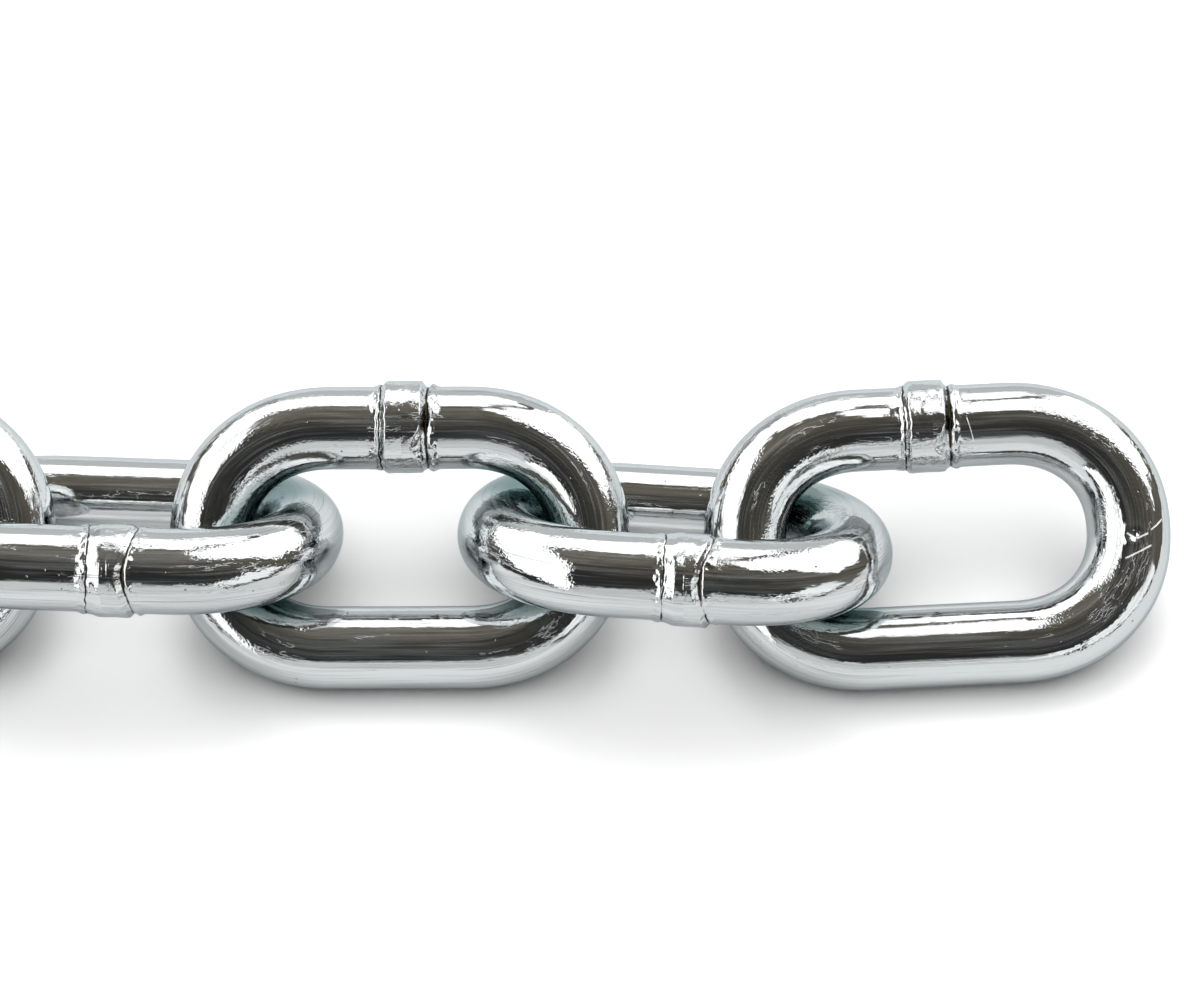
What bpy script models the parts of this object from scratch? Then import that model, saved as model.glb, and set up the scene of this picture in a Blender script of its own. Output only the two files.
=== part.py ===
# A length of welded round-link steel chain, zinc plated, lying straight on a flat surface.
#
# Each link is one bent and welded bar. Neighbouring links lean opposite ways, so that
# every link rests on one of its two straight bars and carries its weld on the raised one.
# Metres, +Z up. The chain runs along X, and the surface that it lies on is z = 0.

import math

import bmesh
import bpy
from mathutils import Matrix, Vector

# Driving dimensions, in metres.
WIRE_DIAMETER = 0.010
LINK_COUNT = 9
LINK_LENGTH = 0.0555        # outside, along the chain
LINK_WIDTH = 0.0365         # outside
CROWN_DEPTH = 0.0145        # centre line, from the end of the straight bars to the apex
CROWN_POWER = 2.15          # exponent of the crown's superellipse: 2 is an ellipse
WELD_WIDTH = 0.0052         # the upset collar where the bar's ends were welded
WELD_PROUD = 0.00055
WELD_RAMP = 0.0005

# How the chain lies: each link's lean from the surface, and the play left between
# the end bars of neighbours along the chain.
LEAN = math.radians(36)
PLAY = 0.0008

# What differs on single links, by the link's number from the left end.
LENGTHS = {8: 0.0524, 9: 0.0567}
LEANS = {9: math.radians(32)}
PLAYS = {9: 0.0027}         # between this link and the one before it
HEADINGS = {6: math.radians(-2.4), 7: math.radians(0.3), 8: math.radians(-4.3), 9: math.radians(3.3)}
SIDE_SHIFTS = {6: 0.0005, 7: -0.0004, 8: -0.0008, 9: 0.0004}
WELD_SHIFTS = {6: 0.0025, 7: 0.0006, 8: 0.0017, 9: -0.0007}   # along +X, from the link's middle

# A link swings in its own plane, about a point on its middle line that lies this far
# from its left end, where the end bar of the link before it passes through.
HINGE_DEPTH = 0.0170

# How finely the round shapes are cut, and the angle past which an edge shows as sharp.
BAR_SIDES = 18
CROWN_STEPS = 14
SHARP_EDGE = math.radians(40)

ZINC_COLOR = (0.60, 0.62, 0.64, 1.0)
ZINC_ROUGHNESS = 0.22

# Worked out from the driving dimensions. The cut section has the round bar's area, so its
# corners stand a little outside the bar's surface and its flats a little inside.
wire_radius = WIRE_DIAMETER / 2
corner_angle = 2 * math.pi / BAR_SIDES
corner_radius = wire_radius * math.sqrt(corner_angle / math.sin(corner_angle))
flat_radius = corner_radius * math.cos(corner_angle / 2)
half_width = (LINK_WIDTH - WIRE_DIAMETER) / 2


def clear_scene():
    for item in list(bpy.data.objects):
        bpy.data.objects.remove(item, do_unlink=True)


def zinc_plate(name):
    material = bpy.data.materials.new(name)
    material.use_nodes = True
    shader = material.node_tree.nodes["Principled BSDF"]
    shader.inputs["Base Color"].default_value = ZINC_COLOR
    shader.inputs["Metallic"].default_value = 1.0
    shader.inputs["Roughness"].default_value = ZINC_ROUGHNESS
    material.diffuse_color = ZINC_COLOR
    return material


def station(x, side, out_x, out_side, scale=1.0):
    """Frame of one cross section: a point of the centre line in the link's plane, with
    the section's first axis pointing out of the link and its second along +Z."""
    outward = Vector((out_x, out_side, 0)).normalized()
    upward = Vector((0, 0, 1))
    along = outward.cross(upward)
    frame = Matrix((outward * scale, upward * scale, along)).transposed().to_4x4()
    return Matrix.Translation((x, side, 0)) @ frame


def crown_stations(straight, end):
    """Sections round one end, end being 1 for the right crown and -1 for the left."""
    stations = []
    for step in range(CROWN_STEPS + 1):
        angle = math.pi * (step / CROWN_STEPS - 0.5)
        reach = max(math.cos(angle), 0.0) ** (2 / CROWN_POWER)
        spread = math.copysign(abs(math.sin(angle)) ** (2 / CROWN_POWER), math.sin(angle))
        out_x = reach ** (CROWN_POWER - 1) / CROWN_DEPTH
        out_side = math.copysign(abs(spread) ** (CROWN_POWER - 1) / half_width, spread)
        x = straight / 2 + CROWN_DEPTH * reach
        side = half_width * spread
        stations.append(station(end * x, end * side, end * out_x, end * out_side))
    return stations


def weld_stations(weld_x):
    """Sections of the weld collar, from right to left along the bar at +Y."""
    proud = 1 + WELD_PROUD / wire_radius
    edge = WELD_WIDTH / 2
    foot = edge + WELD_RAMP
    outline = ((foot, 1.0), (edge, proud), (-edge, proud), (-foot, 1.0))
    return [station(weld_x + offset, half_width, 0, 1, scale) for offset, scale in outline]


def link_mesh(name, length, weld_x, lean):
    """One link in its own plane: long along X, its plane level, its weld on the bar at +Y.

    The bar's section is turned so that, once the link leans, it rests on a level flat.
    """
    straight = length - WIRE_DIAMETER - 2 * CROWN_DEPTH
    stations = crown_stations(straight, 1) + weld_stations(weld_x) + crown_stations(straight, -1)

    shape = bmesh.new()
    turn = Matrix.Rotation(lean + corner_angle / 2, 4, "Z")
    bmesh.ops.create_circle(
        shape, segments=BAR_SIDES, radius=corner_radius, matrix=stations[0] @ turn
    )
    first_edges = list(shape.edges)
    edges = first_edges
    for before, after in zip(stations, stations[1:]):
        made = bmesh.ops.extrude_edge_only(shape, edges=edges)["geom"]
        ring = [item for item in made if isinstance(item, bmesh.types.BMVert)]
        bmesh.ops.transform(shape, matrix=after @ before.inverted(), verts=ring)
        moved = set(ring)
        edges = [
            item for item in made
            if isinstance(item, bmesh.types.BMEdge) and moved.issuperset(item.verts)
        ]
    bmesh.ops.bridge_loops(shape, edges=first_edges + edges)
    bmesh.ops.recalc_face_normals(shape, faces=shape.faces)

    mesh = bpy.data.meshes.new(name)
    shape.to_mesh(mesh)
    shape.free()
    return mesh


def link_places():
    """Number, length, lean, turn and centre of each link, left to right."""
    places = []
    x = 0.0
    for number in range(1, LINK_COUNT + 1):
        length = LENGTHS.get(number, LINK_LENGTH)
        lean = LEANS.get(number, LEAN)
        if places:
            spacing = (places[-1]["length"] + length) / 2 - 2 * WIRE_DIAMETER
            x += spacing - PLAYS.get(number, PLAY)
        # Every second link is the same shape turned end for end, so it leans the other way.
        facing = 1 if number % 2 else -1
        turn = Matrix.Rotation(HEADINGS.get(number, 0.0), 4, "Z")
        if facing < 0:
            turn = turn @ Matrix.Rotation(math.pi, 4, "Z")
        turn = turn @ Matrix.Rotation(lean, 4, "X")
        height = flat_radius + half_width * math.sin(lean)
        centre = Vector((x, SIDE_SHIFTS.get(number, 0.0), height))
        places.append({
            "number": number, "length": length, "lean": lean, "facing": facing,
            "turn": turn, "centre": centre,
        })
    return places


def hinge_point(place):
    """The point that the link swings about, near its left end."""
    reach = place["length"] / 2 - HINGE_DEPTH
    return place["centre"] - place["turn"] @ Vector((place["facing"] * reach, 0, 0))


def make_link(place):
    """The link as an object whose origin is the point that it swings about."""
    name = "link_%d" % place["number"]
    pivot = hinge_point(place)
    weld_x = place["facing"] * WELD_SHIFTS.get(place["number"], 0.0)
    mesh = link_mesh(name, place["length"], weld_x, place["lean"])
    into_plane = place["turn"].inverted() @ (place["centre"] - pivot)
    mesh.transform(Matrix.Translation(into_plane))
    mesh.materials.append(zinc_plate("zinc_plate_%d" % place["number"]))
    mesh.shade_smooth()
    mesh.set_sharp_from_angle(angle=SHARP_EDGE)
    link = bpy.data.objects.new(name, mesh)
    link.matrix_world = Matrix.Translation(pivot) @ place["turn"]
    bpy.context.collection.objects.link(link)
    return link


def centre_on_origin(links):
    """Moves the whole chain so that its box is centred over the origin."""
    bpy.context.view_layer.update()
    corners = [link.matrix_world @ vertex.co for link in links for vertex in link.data.vertices]
    for axis in (0, 1):
        values = [corner[axis] for corner in corners]
        middle = (min(values) + max(values)) / 2
        for link in links:
            link.location[axis] -= middle


def build_chain():
    links = [make_link(place) for place in link_places()]
    centre_on_origin(links)
    return links


clear_scene()
build_chain()
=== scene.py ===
# A run of zinc plated, welded steel chain lying straight on a pale floor.
# Metres, +Z up. The chain runs along X, and the camera looks along +Y and down.

import math

import bmesh
import bpy
import numpy as np
from mathutils import Matrix, Vector, kdtree, noise


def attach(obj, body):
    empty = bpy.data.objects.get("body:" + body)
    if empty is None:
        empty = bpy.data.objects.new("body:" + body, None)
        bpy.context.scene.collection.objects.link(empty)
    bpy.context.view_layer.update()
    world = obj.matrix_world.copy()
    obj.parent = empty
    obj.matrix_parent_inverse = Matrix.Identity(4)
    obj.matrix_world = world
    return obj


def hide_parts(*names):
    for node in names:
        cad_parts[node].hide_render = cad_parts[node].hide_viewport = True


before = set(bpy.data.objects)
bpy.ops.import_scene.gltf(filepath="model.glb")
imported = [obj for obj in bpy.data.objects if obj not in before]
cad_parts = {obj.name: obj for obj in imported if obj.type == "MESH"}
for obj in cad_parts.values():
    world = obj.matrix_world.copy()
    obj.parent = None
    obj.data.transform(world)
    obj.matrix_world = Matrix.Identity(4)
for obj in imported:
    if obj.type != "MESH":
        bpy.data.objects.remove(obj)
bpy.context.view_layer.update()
millimetre = 0.001


class Value:
    # An output socket that can be used in arithmetic.

    def __init__(self, graph, socket):
        self.graph = graph
        self.socket = socket

    def __add__(self, other):
        return self.graph.math("ADD", self, other)

    def __sub__(self, other):
        return self.graph.math("SUBTRACT", self, other)

    def __rsub__(self, other):
        return self.graph.math("SUBTRACT", other, self)

    def __mul__(self, other):
        return self.graph.math("MULTIPLY", self, other)

    def __truediv__(self, other):
        return self.graph.math("DIVIDE", self, other)

    __radd__ = __add__
    __rmul__ = __mul__


class Graph:
    # The nodes of one material or world.

    def __init__(self, tree):
        self.tree = tree
        tree.nodes.clear()

    def node(self, kind, settings=None, sockets=None, output=0):
        made = self.tree.nodes.new(kind)
        for name, value in (settings or {}).items():
            setattr(made, name, value)
        for name, value in (sockets or {}).items():
            if isinstance(value, Value):
                self.tree.links.new(value.socket, made.inputs[name])
            else:
                made.inputs[name].default_value = value
        return Value(self, made.outputs[output]) if len(made.outputs) else made

    def math(self, operation, *values):
        return self.node("ShaderNodeMath", {"operation": operation}, dict(enumerate(values)))

    def ramp(self, value, low, high, start=0.0, end=1.0):
        # Goes smoothly from start to end while the value goes from low to high.
        return self.node(
            "ShaderNodeMapRange",
            {"interpolation_type": "SMOOTHSTEP"},
            {"Value": value, "From Min": low, "From Max": high, "To Min": start, "To Max": end},
        )

    def split(self, vector):
        made = self.node("ShaderNodeSeparateXYZ", {}, {"Vector": vector}).socket.node
        return [Value(self, socket) for socket in made.outputs]

    def mix(self, factor, first, second):
        return self.node(
            "ShaderNodeMix", {"data_type": "RGBA"}, {0: factor, 6: first, 7: second}, output=2,
        )

    def noise(self, vector, scale, detail=2.0, roughness=0.5):
        return self.node(
            "ShaderNodeTexNoise", {},
            {"Vector": vector, "Scale": scale, "Detail": detail, "Roughness": roughness},
        )

    def attribute(self, name):
        return self.node("ShaderNodeAttribute", {"attribute_name": name}, output="Fac")


# The camera stands where the photograph was taken from.
cameraSettings = {
    "place": (0.0955, -0.1725, 0.2599),
    "lookDown": 54.3,          # degrees below level
    "lens": 74.84,
    "sensorWidth": 36.0,
    "nearest": 0.01,
}


def makeCamera(settings):
    camera = bpy.data.objects.new("photoCamera", bpy.data.cameras.new("photoCamera"))
    camera.data.lens = settings["lens"]
    camera.data.sensor_width = settings["sensorWidth"]
    camera.data.clip_start = settings["nearest"]
    camera.location = settings["place"]
    camera.rotation_euler = (math.radians(90 - settings["lookDown"]), 0, 0)
    bpy.context.collection.objects.link(camera)
    bpy.context.scene.camera = camera


makeCamera(cameraSettings)
print("camera placed")


# What the bars mirror. A direction is given by the degrees that it leans from straight up, to the
# right and to the back, and each panel by its corners, anticlockwise as seen on that map.
roomSettings = {
    "canopyDark": (0.032, 0.033, 0.031),
    "canopyLight": (0.125, 0.112, 0.088),
    "canopyFade": (-20, 48),   # degrees to the back between which the canopy gets lighter
    "canopyTilt": 0.3,         # how much the right counts as the back
    "canopyPatches": {"scale": 5.0, "detail": 3.0, "degrees": 60},
    "mottles": {"scale": 11.0, "detail": 3.0, "from": 0.36, "to": 0.62, "least": 0.25},
    "cameraBackdrop": (1.0, 1.0, 1.0),
    "edgeSoftness": 0.5,
    "edgeBends": ((5.0, 12.0), (19.0, 4.0)),   # noise scale, and degrees
    "panels": {
        "backWall": {
            "corners": ((-30, 58), (64, 60), (64, 100), (-30, 100)),
            "light": (0.69, 0.71, 0.71),
        },
        "backLeftWall": {
            "corners": ((-95, 40), (-50, 60), (-28, 67), (-28, 95), (-60, 90)),
            "light": (0.46, 0.48, 0.49),
        },
        "frontWall": {
            "corners": ((-60, -100), (60, -100), (30, -71), (-30, -71)),
            "light": (0.80, 0.82, 0.82), "soft": 3.0,
        },
        "warmWall": {
            "corners": ((-70, -7), (7, -7), (7, 32), (-70, 44)),
            "light": (0.195, 0.178, 0.146), "soft": 6.0, "mottled": True,
        },
        "leftPanel": {
            "corners": (
                (-75, -24), (-62, -56), (-42, -84), (-36, -68),
                (-28, -25), (-28, 10), (-30, 35), (-68, 37),
            ),
            "light": (1.9, 1.9, 1.9), "soft": 1.6,
        },
        "backSoftbox": {
            "corners": ((-66, 37), (-2, 26), (0.5, 27), (19, 54), (19, 62), (-45, 63)),
            "light": (2.0, 2.0, 2.0),
        },
        "rightPanel": {
            "corners": ((7, 1), (68, -3), (74, 30), (54, 68), (38, 80), (3, 20)),
            "light": (2.0, 2.0, 2.0),
        },
        "frontRightPanel": {
            "corners": ((16, -84), (62, -64), (88, -20), (68, -25)),
            "light": (1.25, 1.28, 1.28),
        },
    },
}


def polygonMask(graph, u, v, corners, soft):
    # 1 inside a convex polygon on the map of directions.
    mask = None
    for (u1, v1), (u2, v2) in zip(corners, corners[1:] + corners[:1]):
        length = math.hypot(u2 - u1, v2 - v1)
        inU, inV = -(v2 - v1) / length, (u2 - u1) / length
        inside = graph.ramp(u * inU + v * inV - (u1 * inU + v1 * inV), -soft, soft)
        mask = inside if mask is None else mask * inside
    return mask


def makeRoom(settings):
    world = bpy.data.worlds.new("studioRoom")
    bpy.context.scene.world = world
    world.use_nodes = True
    graph = Graph(world.node_tree)
    direction = graph.node("ShaderNodeTexCoord", output="Generated")
    x, y, z = graph.split(direction)
    level = graph.math("SQRT", x * x + y * y) + 1e-6
    degreesUp = graph.math("ARCCOSINE", z) * math.degrees(1)
    u = degreesUp * x / level
    v = degreesUp * y / level
    for rate, bend in settings["edgeBends"]:
        wander = graph.noise(direction, rate)
        u = u + (wander - 0.5) * bend
        v = v - (wander - 0.5) * bend

    patches = settings["canopyPatches"]
    uneven = graph.noise(direction, patches["scale"], patches["detail"]) * patches["degrees"]
    lighter = graph.ramp(v + u * settings["canopyTilt"] + uneven, *settings["canopyFade"])
    colour = graph.mix(lighter, (*settings["canopyDark"], 1), (*settings["canopyLight"], 1))
    mottles = settings["mottles"]
    spots = graph.noise(direction, mottles["scale"], mottles["detail"])
    mottled = graph.ramp(spots, mottles["from"], mottles["to"], mottles["least"], 1.0)
    for panel in settings["panels"].values():
        soft = panel.get("soft", settings["edgeSoftness"])
        mask = polygonMask(graph, u, v, panel["corners"], soft)
        if panel.get("mottled"):
            mask = mask * mottled
        colour = graph.mix(mask, colour, (*panel["light"], 1))

    light = graph.node("ShaderNodeBackground", {}, {"Color": colour})
    backdropColour = (*settings["cameraBackdrop"], 1)
    backdrop = graph.node("ShaderNodeBackground", {}, {"Color": backdropColour})
    seen = graph.node("ShaderNodeLightPath", output="Is Camera Ray")
    shown = graph.node("ShaderNodeMixShader", {}, {0: seen, 1: light, 2: backdrop})
    graph.node("ShaderNodeOutputWorld", {}, {"Surface": shown})
    world.cycles_visibility.diffuse = False


makeRoom(roomSettings)
bpy.context.scene.view_settings.view_transform = "Standard"

# Two lamps light the floor, a broad one overhead and a smaller one behind the chain, which throws
# the shadows forward. The bars mirror the room instead of them.
lampSettings = {
    "overheadSoftbox": {"place": (0.06, 0.15, 0.90), "size": 1.7, "power": 29.7},
    "backLamp": {"place": (0.08, 0.37, 0.82), "size": 0.35, "power": 2.2},
}


def makeLamp(name, settings):
    data = bpy.data.lights.new(name, "AREA")
    data.size = settings["size"]
    data.energy = settings["power"]
    lamp = bpy.data.objects.new(name, data)
    lamp.location = settings["place"]
    lamp.rotation_euler = (-lamp.location).to_track_quat("-Z", "Y").to_euler()
    lamp.visible_glossy = False
    lamp.visible_camera = False
    bpy.context.collection.objects.link(lamp)


for name, settings in lampSettings.items():
    makeLamp(name, settings)

# The photograph's paper is brightened to white, but the bars still mirror it as it was. The floor
# ends before the lamps' light falls off, where it can't be told from the backdrop.
floorSettings = {
    "middle": (0.03, 0.05, 0.0),
    "halfWidth": 0.45,
    "colour": (0.72, 0.72, 0.72),
    "mirroredColour": (0.535, 0.545, 0.545),
    "roughness": 0.9,
    "gloss": 1.2,              # index of refraction
}


def makeFloor(settings):
    shape = bmesh.new()
    bmesh.ops.create_grid(
        shape, x_segments=1, y_segments=1, size=settings["halfWidth"],
        matrix=Matrix.Translation(settings["middle"]),
    )
    mesh = bpy.data.meshes.new("paleFloor")
    shape.to_mesh(mesh)
    shape.free()
    material = bpy.data.materials.new("palePaper")
    material.use_nodes = True
    graph = Graph(material.node_tree)
    seen = graph.node("ShaderNodeLightPath", output="Is Camera Ray")
    colour = graph.mix(seen, (*settings["mirroredColour"], 1), (*settings["colour"], 1))
    surface = graph.node(
        "ShaderNodeBsdfPrincipled", {},
        {"Base Color": colour, "Roughness": settings["roughness"], "IOR": settings["gloss"]},
    )
    graph.node("ShaderNodeOutputMaterial", {}, {"Surface": surface})
    mesh.materials.append(material)
    floor = bpy.data.objects.new("paleFloor", mesh)
    bpy.context.collection.objects.link(floor)


makeFloor(floorSettings)
print("room and floor made")


# The bar that every link is bent from, and how finely its mesh is cut.
barSettings = {
    "radius": 0.005,
    "outsideWidth": 0.0365,
    "crownDepth": 0.0145,      # centre line, from the end of the straight bars
    "crownPower": 2.15,        # the crown's superellipse: 2 is an ellipse
    "sides": 136,
    "crownSteps": 150,
    "plainStep": 0.00028,
    "weldStep": 0.00008,
    "weldReach": 0.0048,       # half the length of bar that is cut finely for the weld
    "waves": ((150, 0.012), (420, 0.004)),   # waves a metre, and height in millimetres
    "weldEnds": (0.0034, 0.0062),    # how far from its middle the weld's effect on the zinc fades
    "crownStart": 0.006,       # how far into a crown its effect on the zinc is full
    "shelterReach": 0.0055,    # how far from a neighbour's bar painted shade darkens the zinc
}
barOffset = barSettings["outsideWidth"] / 2 - barSettings["radius"]   # from the link's middle line

# A struck place on the last link's crown: a hollow with a rim. Reach and depth are in millimetres,
# and the rim and the hollow are given in reaches.
nickSettings = {
    "place": (0.1593, -0.0019, 0.0156),
    "reach": 0.85,
    "depth": 0.26,
    "raggedness": {"share": 0.5, "rate": 2.4},     # waves a millimetre
    "hollow": 0.7,
    "rim": {"away": 1.25, "halfWidth": 0.35, "height": 0.45},
    "end": 3,                  # reaches from its middle where it is left out
}

# The links from left to right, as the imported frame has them. "weldSkew" is how many millimetres
# further along +X the weld lies on the side that faces up and forward.
chainLinks = {
    "link_1": {"middle": (-0.136847, 0.000019, 0.012763)},
    "link_2": {"middle": (-0.102147, 0.000019, 0.012763)},
    "link_3": {"middle": (-0.067447, 0.000019, 0.012763)},
    "link_4": {"middle": (-0.032747, 0.000019, 0.012763)},
    "link_5": {"middle": (0.001953, 0.000019, 0.012763)},
    "link_6": {"middle": (0.036653, 0.000519, 0.012763), "heading": -2.4, "weldShift": 0.0025,
               "weldSkew": 0.9},
    "link_7": {"middle": (0.071353, -0.000381, 0.012763), "heading": 0.3, "weldShift": 0.0006},
    "link_8": {"middle": (0.104503, -0.000781, 0.012763), "heading": -4.3, "weldShift": 0.0017,
               "length": 0.0524},
    "link_9": {"middle": (0.136353, 0.000419, 0.011996), "heading": 3.3, "weldShift": -0.0007,
               "length": 0.0567, "lean": 32, "weldSkew": -0.7, "nick": nickSettings["place"]},
}
usualLength = 0.0555
usualLean = 36                 # degrees from the floor

# The weld collar's profile along the bar, in millimetres from its middle and with +X to the right.
# A step is (from, to, rise), a ridge (place, half width, height) and a crease (place, half width,
# depth). Angles go round the bar, in radians from the back horizon over the top. "chip" widens
# the right step round one of them: (angle, half angle, millimetres), and "wedge" widens the right
# crease there by a share. "slant" tips the right border, "comb" is the height of fine upset marks
# and the weld stands highest at "thickest".
weldForms = {
    "upright": {
        "leftSteps": ((-3.20, -2.75, 0.24), (-2.55, -1.85, 0.46)),
        "rightSteps": ((2.00, 2.75, -0.70),),
        "leftRidges": ((-2.10, 0.16, 0.05),),
        "rightRidges": ((3.60, 0.45, 0.16), (2.20, 0.14, 0.05)),
        "leftCrease": (-2.62, 0.10, 0.16),
        "rightCrease": (2.90, 0.13, 0.20),
        "wedge": (2.05, 0.36, 1.5),
        "chip": (2.64, 0.26, 1.35),
        "slant": 0.0,
        "comb": 0.0,
        "thickest": 1.57,
    },
    "slanted": {
        "leftSteps": ((-3.40, -2.65, 0.16), (-2.42, -1.00, 0.32)),
        "rightSteps": ((1.70, 2.35, -0.48),),
        "leftRidges": (),
        "rightRidges": ((2.85, 0.30, 0.08),),
        "leftCrease": (-2.52, 0.10, 0.16),
        "rightCrease": (2.42, 0.10, 0.14),
        "wedge": (2.30, 0.24, 1.6),
        "chip": (2.30, 0.30, 0.55),
        "slant": 0.75,
        "comb": 0.045,
        "thickest": 2.9,
    },
}

# What both forms share. Lengths are millimetres and rates waves a millimetre, or waves a radius
# where they go round the bar.
weldSettings = {
    "seedStep": 1.37,          # how far apart the links' noise lies, round the bar
    "placeStep": 3.1,          # and along it, in seeds
    "skewAngle": 2.2,          # where "weldSkew" is at its full
    "slantAngle": 2.25,
    "leftWander": ((1.6, 0, 0.14), (7.0, 0, 0.14)),    # rate, offset of the noise, millimetres
    "rightWander": ((2.1, 9, 0.16), (8.0, 0, 0.12)),
    "thickness": (0.85, 0.30),       # mean share, and how much more on the thickest side
    "unevenness": {"least": 0.35, "span": 2.4, "rate": 3.2, "offset": 7},   # of ridges and creases
    "facets": ((0.75, 0.055), (1.9, 0.032), (4.5, 0.010)),     # rate and height
    "facetEnds": ((-4.6, -3.2), (3.0, 4.6)),
    "splash": {"height": 0.30, "halfWidth": 0.42, "away": 0.62,   # ragged bumps beside the creases
               "roundRate": 4.3, "fineRate": 1.7, "fineShare": 0.6, "offset": 5, "more": 0.1},
    "combEnds": ((-1.6, -1.2), (0.2, 0.7)),
    "combAngles": ((1.95, 2.1), (2.5, 2.65)),
    "combRates": (5.0, 0.9),         # along the bar, and round it
}


def station(x, side, outX, outSide):
    # Frame of one section in the link's plane: first axis out of the link, second along +Z.
    outward = Vector((outX, outSide, 0)).normalized()
    upward = Vector((0, 0, 1))
    turn = Matrix((outward, upward, outward.cross(upward))).transposed().to_4x4()
    return Matrix.Translation((x, side, 0)) @ turn


def straightLength(length):
    # How long the straight bars of a link are.
    return length - 2 * barSettings["radius"] - 2 * barSettings["crownDepth"]


def crownStations(straight, end):
    # Sections round one end: 1 for the end at +X, from the bar at -Y to the one at +Y.
    depth = barSettings["crownDepth"]
    power = barSettings["crownPower"]
    steps = barSettings["crownSteps"]
    made = []
    for step in range(steps + 1):
        angle = math.pi * (step / steps - 0.5)
        reach = max(math.cos(angle), 0.0) ** (2 / power)
        spread = math.copysign(abs(math.sin(angle)) ** (2 / power), math.sin(angle))
        outX = reach ** (power - 1) / depth
        outSide = math.copysign(abs(spread) ** (power - 1) / barOffset, spread)
        x = straight / 2 + depth * reach
        made.append(station(end * x, end * barOffset * spread, end * outX, end * outSide))
    return made


def barStations(start, end, side, step):
    # Sections along a straight bar, without its two ends.
    count = max(2, round(abs(end - start) / step))
    places = [start + (end - start) * index / count for index in range(1, count)]
    return [station(x, side * barOffset, 0, side) for x in places]


def linkStations(length, weldX):
    # All sections of a link, from the middle of its weld round the left end and back to it.
    straight = straightLength(length)
    half = straight / 2
    plain, fine = barSettings["plainStep"], barSettings["weldStep"]
    left, right = weldX - barSettings["weldReach"], weldX + barSettings["weldReach"]
    made = [station(weldX, barOffset, 0, 1)]
    made += barStations(weldX, left, 1, fine) + [station(left, barOffset, 0, 1)]
    made += barStations(left, -half, 1, plain) + crownStations(straight, -1)
    made += barStations(-half, half, -1, plain) + crownStations(straight, 1)
    made += barStations(half, right, 1, plain) + [station(right, barOffset, 0, 1)]
    made += barStations(right, weldX, 1, fine)
    return made


def smooth(value, low, high):
    share = min(max((value - low) / (high - low), 0.0), 1.0)
    return share * share * (3 - 2 * share)


def between(value, start, end):
    # 1 between two soft ends, each given by where it begins and where it is over.
    return smooth(value, *start) * (1 - smooth(value, *end))


def bell(x, middle, halfWidth):
    return math.exp(-(((x - middle) / halfWidth) ** 2))


def nickRise(spot, middle):
    # The struck place, in millimetres.
    away = spot - Vector(middle)
    raggedness = nickSettings["raggedness"]
    ragged = noise.noise(away / millimetre * raggedness["rate"])
    ragged = 1 + raggedness["share"] * ragged
    distance = away.length / millimetre / nickSettings["reach"] / ragged
    rim = nickSettings["rim"]
    raised = rim["height"] * bell(distance, rim["away"], rim["halfWidth"])
    return nickSettings["depth"] * (raised - bell(distance, 0, nickSettings["hollow"]))


def wander(spot, waves):
    # How far a border strays along the bar, round it.
    return sum(
        noise.noise(spot * rate + Vector((offset, 0, 0))) * height
        for rate, offset, height in waves
    )


def collarRise(left, right, angle, form):
    # The steps up to the collar and down from it.
    chipAngle, chipHalf, chipWidth = form["chip"]
    chip = chipWidth * bell(angle, chipAngle, chipHalf)
    rise = sum(height * smooth(left, low, high) for low, high, height in form["leftSteps"])
    rise += sum(
        height * smooth(right, low - chip, high) for low, high, height in form["rightSteps"]
    )
    mean, more = weldSettings["thickness"]
    return rise * (mean + more * math.cos(angle - form["thickest"]))


def ridgeRise(x, ridges):
    return sum(height * bell(x, at, wide) for at, wide, height in ridges)


def splashRise(spot, place, x, at, outward):
    # Ragged bumps just outside the crease that lies at this place.
    splash = weldSettings["splash"]
    offset = Vector((0, 0, splash["offset"]))
    ragged = noise.noise(spot * splash["roundRate"] + offset * outward)
    ragged += splash["fineShare"] * noise.noise(place * splash["fineRate"] + offset)
    beside = bell(x, at + outward * splash["away"], splash["halfWidth"])
    return splash["height"] * max(0.0, ragged + splash["more"]) * beside


def combRise(x, angle, seed):
    # Fine upset marks across the collar's front.
    comb = between(x, *weldSettings["combEnds"]) * between(angle, *weldSettings["combAngles"])
    alongRate, roundRate = weldSettings["combRates"]
    return comb * noise.noise(Vector((x * alongRate, angle * roundRate, seed)))


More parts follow.
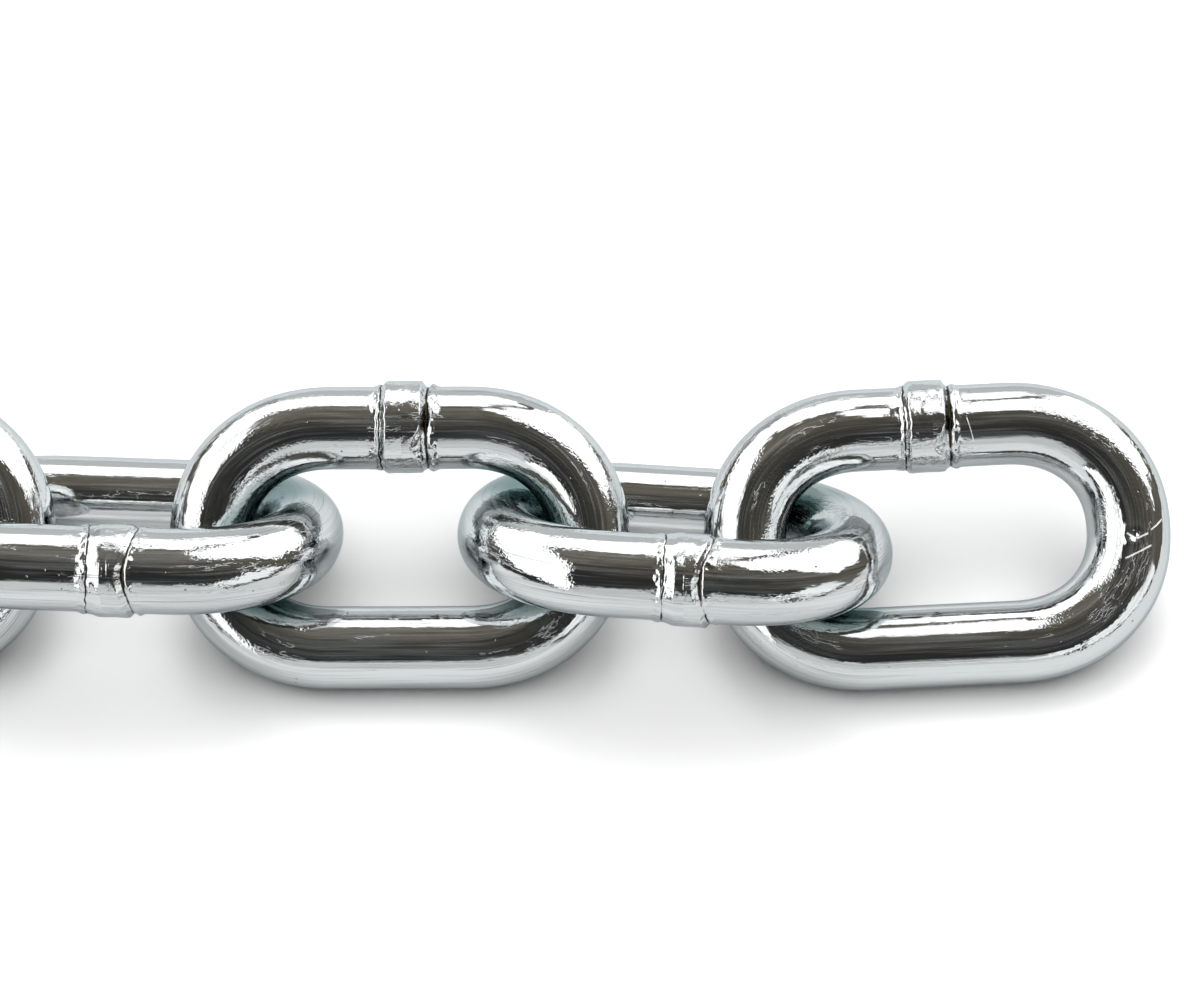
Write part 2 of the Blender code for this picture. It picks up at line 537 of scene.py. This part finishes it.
def weldRise(x, angle, seed, form):
    # How far the weld stands off the bar, in millimetres, and from 0 to 1 how far inside a crease
    # this is, at x millimetres along +X from the weld's middle and at an angle round the bar.
    spot = Vector((math.cos(angle), math.sin(angle), seed))
    place = Vector((x, angle * barSettings["radius"] / millimetre, seed * weldSettings["placeStep"]))
    left = x - wander(spot, weldSettings["leftWander"])
    right = x - wander(spot, weldSettings["rightWander"])
    right += form["slant"] * math.cos(2 * (angle - weldSettings["slantAngle"]))
    rise = collarRise(left, right, angle, form)

    uneven = weldSettings["unevenness"]
    strength = abs(noise.noise(spot * uneven["rate"] + Vector((0, uneven["offset"], 0))))
    strength = uneven["least"] + uneven["span"] * strength
    rise += strength * (ridgeRise(left, form["leftRidges"]) + ridgeRise(right, form["rightRidges"]))
    facets = sum(height * noise.noise(place * rate) for rate, height in weldSettings["facets"])
    rise += between(x, *weldSettings["facetEnds"]) * facets

    wedgeAngle, wedgeHalf, wedgeShare = form["wedge"]
    wedge = 1 + wedgeShare * bell(angle, wedgeAngle, wedgeHalf)
    creased = 0.0
    for where, outward, widening, (at, wide, depth) in (
        (left, -1, 1.0, form["leftCrease"]), (right, 1, wedge, form["rightCrease"]),
    ):
        inside = bell(where, at, wide * widening) * min(strength * widening, 1.0)
        creased = max(creased, inside)
        rise -= depth * inside
        rise += splashRise(spot, place, where, at, outward)
    rise += form["comb"] * combRise(x, angle, seed)
    return rise, creased


def linkFacing(number):
    # Every second link is the same shape turned end for end, so it leans the other way.
    return 1 if number % 2 else -1


def linkPlace(link, number):
    # Where the link's plane lies.
    turn = Matrix.Rotation(math.radians(link.get("heading", 0.0)), 4, "Z")
    if linkFacing(number) < 0:
        turn = turn @ Matrix.Rotation(math.pi, 4, "Z")
    lean = Matrix.Rotation(math.radians(link.get("lean", usualLean)), 4, "X")
    return Matrix.Translation(link["middle"]) @ turn @ lean


def neighbourTree(number):
    # The middle lines of the links on either side, to tell how close their bars are.
    spots = []
    for other, link in enumerate(chainLinks.values(), 1):
        if abs(other - number) == 1:
            place = linkPlace(link, other)
            stations = linkStations(link.get("length", usualLength), 0)
            spots += [place @ section.translation for section in stations]
    tree = kdtree.KDTree(len(spots))
    for index, spot in enumerate(spots):
        tree.insert(spot, index)
    tree.balance()
    return tree


def onBar(section, around, rise):
    # The point of the bar's surface at an angle round the section, raised by so many millimetres.
    radius = barSettings["radius"] + rise * millimetre
    return section @ Vector((math.cos(around) * radius, math.sin(around) * radius, 0))


def surfaceRise(link, number, spot, fromWeld, around):
    # How far the surface stands off the plain round bar there, in millimetres, and how far inside
    # a crease it is.
    rise = sum(noise.noise(spot * rate) * height for rate, height in barSettings["waves"])
    creased = 0.0
    if abs(fromWeld) < barSettings["weldReach"]:
        facing = linkFacing(number)
        lean = math.radians(link.get("lean", usualLean))
        angle = lean + around if facing > 0 else math.pi - lean - around
        angle = (angle + math.pi / 2) % (2 * math.pi) - math.pi / 2
        x = -facing * fromWeld / millimetre
        turned = max(0.0, math.cos(angle - weldSettings["skewAngle"]))
        x -= link.get("weldSkew", 0.0) * turned
        form = weldForms["upright" if facing > 0 else "slanted"]
        weld, creased = weldRise(x, angle, number * weldSettings["seedStep"], form)
        rise += weld
    if "nick" in link:
        away = (spot - Vector(link["nick"])).length / millimetre
        if away < nickSettings["end"] * nickSettings["reach"]:
            rise += nickRise(spot, link["nick"])
    return rise, creased


def makeLink(name, link, number):
    length = link.get("length", usualLength)
    stations = linkStations(length, linkFacing(number) * link.get("weldShift", 0.0))
    stations.append(stations[0])
    along = [0.0]
    for before, after in zip(stations, stations[1:]):
        along.append(along[-1] + (after.translation - before.translation).length)
    place = linkPlace(link, number)
    neighbours = neighbourTree(number)
    shelterReach = barSettings["shelterReach"]

    # A flat grid is rolled up into the bar: its X runs along the bar and its Y round it.
    ringCount, sideCount = len(stations) - 1, barSettings["sides"]
    shape = bmesh.new()
    shape.loops.layers.uv.new("barMap")
    weldLayer = shape.verts.layers.float.new("nearWeld")
    crownLayer = shape.verts.layers.float.new("onCrown")
    shelterLayer = shape.verts.layers.float.new("sheltered")
    creaseLayer = shape.verts.layers.float.new("creased")
    bmesh.ops.create_grid(
        shape, x_segments=ringCount, y_segments=sideCount, size=1, calc_uvs=True
    )
    rings = [[] for _ in stations]
    for vert in shape.verts:
        rings[round((vert.co.x + 1) / 2 * ringCount)].append(vert)
    for ring, section, distance in zip(rings, stations, along):
        fromWeld = distance if distance < along[-1] / 2 else distance - along[-1]
        nearWeld = 1 - smooth(abs(fromWeld), *barSettings["weldEnds"])
        pastStraight = abs(section.translation.x) - straightLength(length) / 2
        onCrown = smooth(pastStraight, 0.0, barSettings["crownStart"])
        section = place @ section
        toNeighbour = neighbours.find(section.translation)[2]
        nearNeighbour = toNeighbour < barSettings["radius"] * 2 + shelterReach
        for vert in ring:
            around = math.pi * round((vert.co.y + 1) * sideCount / 2) / sideCount * 2
            spot = onBar(section, around, 0.0)
            rise, vert[creaseLayer] = surfaceRise(link, number, spot, fromWeld, around)
            vert.co = onBar(section, around, rise)
            vert[weldLayer] = nearWeld
            vert[crownLayer] = onCrown
            # How close a neighbour's bar is, which sets the painted shade there.
            if nearNeighbour:
                gap = neighbours.find(vert.co)[2] - barSettings["radius"]
                vert[shelterLayer] = 1 - smooth(gap, 0.0, shelterReach)
    bmesh.ops.remove_doubles(shape, verts=shape.verts, dist=1e-6)
    bmesh.ops.recalc_face_normals(shape, faces=shape.faces)

    mesh = bpy.data.meshes.new(name)
    shape.to_mesh(mesh)
    shape.free()
    layUnwrap(mesh, along, number)
    mesh.shade_smooth()
    piece = bpy.data.objects.new("welded_" + name, mesh)
    bpy.context.collection.objects.link(piece)
    return piece


def layUnwrap(mesh, along, number):
    # U becomes metres along the bar from the weld, plus the link's number, and V radians round it.
    layer = mesh.uv_layers["barMap"]
    spots = np.empty(len(mesh.loops) * 2, np.float32)
    layer.uv.foreach_get("vector", spots)
    spots = spots.reshape(-1, 2)
    rings = np.round(spots[:, 0] * (len(along) - 1)).astype(int)
    spots[:, 0] = np.array(along)[rings] + number
    spots[:, 1] *= 2 * math.pi
    layer.uv.foreach_set("vector", spots.ravel())


# Straight scratches on the side of the bars that faces up and forward: start, end and half width.
scratchSettings = {
    "lines": (
        ((0.1581, -0.0043, 0.0140), (0.1616, -0.0027, 0.0147), 0.00015),
        ((0.1613, -0.0013, 0.0156), (0.1630, 0.0005, 0.0155), 0.00012),
        ((0.1584, -0.0016, 0.0156), (0.1596, -0.0023, 0.0154), 0.00016),
        ((0.1596, -0.0023, 0.0154), (0.1611, -0.0016, 0.0156), 0.00016),
        ((0.1393, 0.0098, 0.0236), (0.1403, 0.0075, 0.0214), 0.00007),
    ),
    "facing": (0.0, -0.58, 0.81),
    "reach": 0.0012,           # how far the line is looked for in front of and behind its ends
    "core": 0.25,              # the share of its half width that is fully bright
    "ends": 0.8,               # the share of its length and reach at which it starts to fade
}


def scratchMask(graph, place, start, end, halfWidth):
    # 1 along a straight scratch.
    settings = scratchSettings
    facing = Vector(settings["facing"])
    along = (Vector(end) - Vector(start)).normalized()
    across = along.cross(facing).normalized()
    middle = (Vector(start) + Vector(end)) / 2
    halfLength = (Vector(end) - Vector(start)).length / 2
    mask = 1
    for direction, limit, core in (
        (across, halfWidth, settings["core"]),
        (along, halfLength, settings["ends"]),
        (facing, settings["reach"], settings["ends"]),
    ):
        offset = graph.node(
            "ShaderNodeVectorMath", {"operation": "DOT_PRODUCT"}, {0: place, 1: direction},
            output=1,
        )
        away = graph.math("ABSOLUTE", offset - direction.dot(middle))
        mask = graph.ramp(away, limit * core, limit, 1, 0) * mask
    return mask


# How fine each pattern of the zinc is: units a metre along the bar and units a radius across it,
# then detail and roughness of the noise.
zincPatterns = {
    "drawLines": (85, 24, 3, 0.6),
    "broadLines": (38, 5.5, 2, 0.5),
    "patches": (55, 1.8, 2, 0.5),
    "wrinkledPlaces": (110, 3.5, 2, 0.5),
    "folds": (520, 9.0, 3, 0.5),
    "peeledPlaces": (75, 1.3, 1, 0.5),
    "peel": (3300, 16, 1, 0.5),
    "scores": (45, 30, 2, 0.5),
    "swells": (600, 8, 2, 0.5),
    "crinkle": (2000, 11, 3, 0.6),
}
pitCells = (520, 2.6)          # units a metre along the bar, and a radius across it

# Between which values of its pattern each mark comes up, or fades for folds and pits.
zincLimits = {
    "scuffs": (0.45, 0.59),
    "fineLines": (0.52, 0.70),
    "scores": (0.64, 0.72),
    "wrinkles": (0.61, 0.69),
    "folds": (0.006, 0.030),
    "peel": (0.49, 0.57),
    "pits": (0.03, 0.08),
    "pittedCells": (0.60, 0.62),
    "creaseShade": (0.15, 0.55),
    "neighbourShade": (0.05, 0.95),
}

# How much of each pattern the marks are made from.
zincShares = {
    "scuffs": {"broadLines": 0.6, "drawLines": 0.4, "patches": 0.25},
    "scores": {"patches": 0.3},
    "wrinkles": {"onCrown": 0.04, "nearWeld": 0.09},
    "neighbourShade": {"patches": 0.4},
}

zincSettings = {
    "colour": (0.66, 0.678, 0.68),
    "scuffedColour": (0.59, 0.605, 0.61),
    "pitColour": (0.16, 0.14, 0.12),
    # The crease colour is painted shade in the weld's creases.
    "creaseShadeColour": (0.045, 0.036, 0.024),
    "scratchColour": (0.88, 0.89, 0.89),
    # The neighbour colour is painted shade where a neighbour's bar is close.
    "neighbourShadeColour": (0.20, 0.28, 0.28),
    "scoredColour": (0.34, 0.35, 0.35),
    "edgeTint": (0.68, 0.725, 0.75),
    "haze": 0.052,             # how far the scuffs scatter light instead of mirroring it
    "wrinkleHaze": 0.15,
    "scratchHaze": 0.6,
    "smoothRoughness": 0.010,
    "scuffedRoughness": 0.10,
    "wrinkleRoughness": 0.08,
    "bumpDepth": 0.00001,      # metres for a height of 1
    "drawHeight": 0.5,
    "swellHeights": (1.0, 1.5),      # on the straight bars, and how much more on the crowns
    "crinkleHeight": 3.5,
    "peelHeight": 2.6,
    "wrinkleDepth": 1.1,
    "pitDepth": 2.5,
    "scratchDepth": 1.5,
}


def zincMarks(graph):
    # The patterns that the zinc's colour, gloss and relief share.
    unwrap = graph.node("ShaderNodeUVMap", {"uv_map": "barMap"})
    along, around, _ = graph.split(unwrap)
    outward = graph.math("COSINE", around)
    upward = graph.math("SINE", around)

    def spread(alongRate, roundRate):
        # A place on the bar in the pattern's own units.
        return graph.node(
            "ShaderNodeCombineXYZ", {},
            {"X": along * alongRate, "Y": outward * roundRate, "Z": upward * roundRate},
        )

    def grain(name):
        alongRate, roundRate, detail, roughness = zincPatterns[name]
        return graph.noise(spread(alongRate, roundRate), 1.0, detail, roughness)

    nearWeld = graph.attribute("nearWeld")
    onCrown = graph.attribute("onCrown")
    drawLines = grain("drawLines")
    patches = grain("patches") - 0.5
    marks = {"onCrown": onCrown, "drawLines": drawLines}
    marks["fineLines"] = graph.ramp(drawLines, *zincLimits["fineLines"])
    scored = grain("scores") + patches * zincShares["scores"]["patches"]
    marks["scores"] = graph.ramp(scored, *zincLimits["scores"])
    marks["swells"] = grain("swells")
    marks["crinkle"] = grain("crinkle") * nearWeld

    # Broad scuffs run along the bar with the draw lines.
    share = zincShares["scuffs"]
    scuffs = grain("broadLines") * share["broadLines"] + drawLines * share["drawLines"]
    scuffs = scuffs + patches * share["patches"]
    marks["scuffs"] = graph.ramp(scuffs, *zincLimits["scuffs"])

    # Thin crooked wrinkles lie in patches, mostly on the crowns and beside the weld.
    share = zincShares["wrinkles"]
    wrinkled = grain("wrinkledPlaces") + onCrown * share["onCrown"] + nearWeld * share["nearWeld"]
    fold = graph.math("ABSOLUTE", grain("folds") - 0.5)
    folded = graph.ramp(fold, *zincLimits["folds"], 1, 0)
    marks["wrinkles"] = folded * graph.ramp(wrinkled, *zincLimits["wrinkles"])

    # A fine orange peel lies in patches on the crowns.
    peeled = graph.ramp(grain("peeledPlaces"), *zincLimits["peel"]) * onCrown
    marks["peel"] = grain("peel") * peeled

    # Small pits lie at the middles of some cells.
    cells = graph.node("ShaderNodeTexVoronoi", {}, {"Vector": spread(*pitCells), "Scale": 1.0})
    cellRandom, _, _ = graph.split(Value(graph, cells.socket.node.outputs["Color"]))
    pitted = graph.ramp(cellRandom, *zincLimits["pittedCells"])
    marks["pits"] = graph.ramp(cells, *zincLimits["pits"], 1, 0) * pitted

    # Painted shade darkens the weld's creases, and more painted shade darkens the zinc where a
    # neighbour's bar is close, made uneven by the patches.
    marks["creaseShade"] = graph.ramp(graph.attribute("creased"), *zincLimits["creaseShade"])
    neighbourShade = graph.attribute("sheltered") + patches * zincShares["neighbourShade"]["patches"]
    marks["neighbourShade"] = graph.ramp(neighbourShade, *zincLimits["neighbourShade"])

    place = graph.node("ShaderNodeTexCoord", output="Object")
    scratches = 0
    for line in scratchSettings["lines"]:
        scratches = graph.math("MAXIMUM", scratches, scratchMask(graph, place, *line))
    marks["scratches"] = scratches
    return marks


def makeZinc(settings):
    material = bpy.data.materials.new("brightZinc")
    material.use_nodes = True
    graph = Graph(material.node_tree)
    marks = zincMarks(graph)
    scuffs, wrinkles, pits = marks["scuffs"], marks["wrinkles"], marks["pits"]
    scratches = marks["scratches"]

    colour = graph.mix(scuffs, (*settings["colour"], 1), (*settings["scuffedColour"], 1))
    # Of these colours, the crease colour and the neighbour colour are painted shade; the others are
    # the zinc's own marks.
    for mark, tint in (
        ("scores", "scoredColour"), ("pits", "pitColour"), ("creaseShade", "creaseShadeColour"),
        ("neighbourShade", "neighbourShadeColour"), ("scratches", "scratchColour"),
    ):
        colour = graph.mix(marks[mark], colour, (*settings[tint], 1))

    span = settings["scuffedRoughness"] - settings["smoothRoughness"]
    roughness = scuffs * span + settings["smoothRoughness"]
    roughness = roughness + wrinkles * settings["wrinkleRoughness"]
    mirroring = 1 - scuffs * settings["haze"] - marks["fineLines"] * settings["haze"]
    mirroring = mirroring - wrinkles * settings["wrinkleHaze"] - scratches * settings["scratchHaze"]

    swell, crownSwell = settings["swellHeights"]
    height = marks["drawLines"] * settings["drawHeight"]
    height = height + marks["swells"] * (marks["onCrown"] * crownSwell + swell)
    height = height + marks["crinkle"] * settings["crinkleHeight"]
    height = height + marks["peel"] * settings["peelHeight"]
    height = height - wrinkles * settings["wrinkleDepth"] - pits * settings["pitDepth"]
    height = height - scratches * settings["scratchDepth"]
    bump = graph.node(
        "ShaderNodeBump", {},
        {"Strength": 1.0, "Distance": settings["bumpDepth"], "Height": height},
        output="Normal",
    )
    surface = graph.node(
        "ShaderNodeBsdfPrincipled", {},
        {
            "Base Color": colour, "Metallic": mirroring, "Roughness": roughness,
            "Specular Tint": (*settings["edgeTint"], 1), "Normal": bump,
        },
    )
    graph.node("ShaderNodeOutputMaterial", {}, {"Surface": surface})
    return material


zinc = makeZinc(zincSettings)
for number, (name, link) in enumerate(chainLinks.items(), 1):
    piece = makeLink(name, link, number)
    piece.data.materials.append(zinc)
    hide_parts(name)
    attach(piece, name)
    print("made", piece.name)
